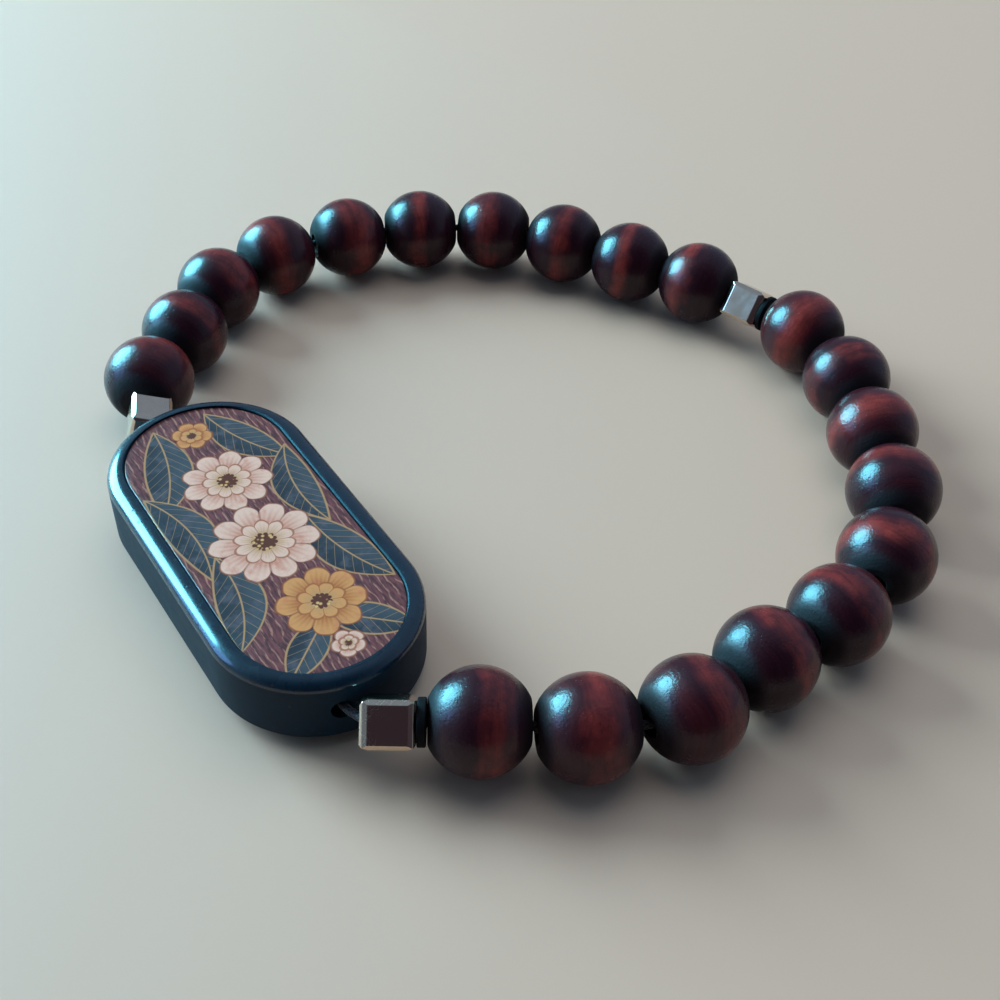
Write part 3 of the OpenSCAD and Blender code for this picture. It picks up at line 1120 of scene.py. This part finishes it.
def light_world(scene):
    """A soft world that is bluer towards the window and the back and dim on the right. Each part is a
    smooth step of the cosine between the view's direction and an aim."""
    world = bpy.data.worlds.new("studio") if scene.world is None else scene.world
    scene.world = world
    world.use_nodes = True
    background = next(n for n in world.node_tree.nodes if n.type == "BACKGROUND")
    sky = Graph(world.node_tree)
    direction = Term(sky, sky.add("ShaderNodeTexCoord").outputs["Generated"])

    def towards(aim, low, high):
        near = sky.vector("DOT_PRODUCT", direction, tuple(Vector(aim).normalized()), output="Value")
        return sky.smooth(near, low, high)

    glow = sky.mix(towards((-0.5, -0.8, 0.33), 0.3, 1.0), (0.20, 0.225, 0.285), (0.27, 0.40, 0.53))
    glow = sky.mix(towards((0.10, 0.78, 0.62), 0.2, 1.0), glow, (0.27, 0.40, 0.58))
    glow = sky.mix(towards((0.72, -0.36, 0.60), 0.35, 0.93), glow, (0.038, 0.03, 0.045))
    sky.put(glow, background.inputs["Color"])


def area_lamp(name, aim, distance, size, watts, tone, glossy):
    """An oval lamp that faces the origin, and shows in the gloss alone or in the diffuse light alone."""
    data = bpy.data.lights.new(name, "AREA")
    data.shape, data.size, data.size_y = "ELLIPSE", *size
    data.energy, data.color = watts, tone
    lamp = new_object(name, data)
    lamp.visible_glossy, lamp.visible_diffuse = glossy, not glossy
    aim = Vector(aim).normalized()
    lamp.location = aim * distance
    lamp.rotation_mode = "QUATERNION"
    lamp.rotation_quaternion = aim.to_track_quat("Z", "Y")


def photo_camera(focal_length):
    """The camera where the photo's stood: it looks square to its level vector, tilted down, then rolled."""
    lens = bpy.data.cameras.new("camera")
    lens.sensor_width, lens.lens = 36.0, focal_length
    lens.clip_start, lens.clip_end = 0.005, 20.0
    camera = new_object("camera", lens)
    tilt, roll = math.radians(CAMERA_TILT), math.radians(CAMERA_ROLL)
    across, up = CAMERA_LEVEL
    level = Vector((across, up, 0.0))
    ahead = Vector((-up * math.cos(tilt), across * math.cos(tilt), -math.sin(tilt)))
    upward = level.cross(ahead)
    right = math.cos(roll) * level + math.sin(roll) * upward
    top = math.cos(roll) * upward - math.sin(roll) * level
    turn = Matrix((right, top, -ahead)).transposed().to_4x4()
    plaque = node_middle("plaque_body")
    place = Vector((plaque[0] + CAMERA_PLACE[0], plaque[1] + CAMERA_PLACE[1], CAMERA_PLACE[2]))
    camera.matrix_world = Matrix.Translation(place * MM) @ turn
    return camera


class BRACELET_OT_stage(bpy.types.Operator):
    """Set the plain floor, the soft lights and the camera"""

    bl_idname = "bracelet.stage"
    bl_label = "Stage"

    def execute(self, context):
        scene = context.scene
        s = scene.bracelet_stage
        make_floor(s.floor)
        light_world(scene)
        area_lamp("window", WINDOW, 0.5, (0.32, 0.36), s.window_glow, (0.18, 0.76, 1.0), True)
        area_lamp("window_side", PANE, 0.5, (0.28, 0.30), s.side_glow, (0.20, 0.46, 1.0), True)
        area_lamp("key", WINDOW, 0.8, (0.48, 0.54), s.key_power, (0.90, 0.97, 1.0), False)
        area_lamp("sky", OVERHEAD, 0.9, (1.0, 1.0), s.sky_power, (0.98, 0.96, 0.95), False)
        scene.camera = photo_camera(s.lens)
        scene.view_settings.view_transform = "Standard"
        return {"FINISHED"}


# Panel and registration


class BRACELET_PT_panel(bpy.types.Panel):
    """Lists the bracelet's operators and settings"""

    bl_idname = "BRACELET_PT_panel"
    bl_label = "Bracelet"
    bl_space_type = "VIEW_3D"
    bl_region_type = "UI"
    bl_category = "Bracelet"

    def draw(self, context):
        for operator in OPERATORS:
            self.layout.operator(operator.bl_idname)
        for name, group in SETTINGS.items():
            box = self.layout.box()
            for prop in group.__annotations__:
                box.prop(getattr(context.scene, name), prop)


OPERATORS = [BRACELET_OT_stage, BRACELET_OT_beads, BRACELET_OT_cubes, BRACELET_OT_discs, BRACELET_OT_plaque,
             BRACELET_OT_picture, BRACELET_OT_cord]
CLASSES = [*SETTINGS.values(), *OPERATORS, BRACELET_PT_panel]


def register():
    for cls in CLASSES:
        bpy.utils.register_class(cls)
    for name, group in SETTINGS.items():
        setattr(bpy.types.Scene, name, PointerProperty(type=group))


def unregister():
    for name in SETTINGS:
        delattr(bpy.types.Scene, name)
    for cls in reversed(CLASSES):
        bpy.utils.unregister_class(cls)


def main():
    """Registers the add-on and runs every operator."""
    register()
    bpy.ops.bracelet.stage()
    bpy.ops.bracelet.beads()
    bpy.ops.bracelet.cubes()
    bpy.ops.bracelet.discs()
    bpy.ops.bracelet.plaque()
    bpy.ops.bracelet.picture()
    bpy.ops.bracelet.cord()
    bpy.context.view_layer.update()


if __name__ == "__main__":
    main()
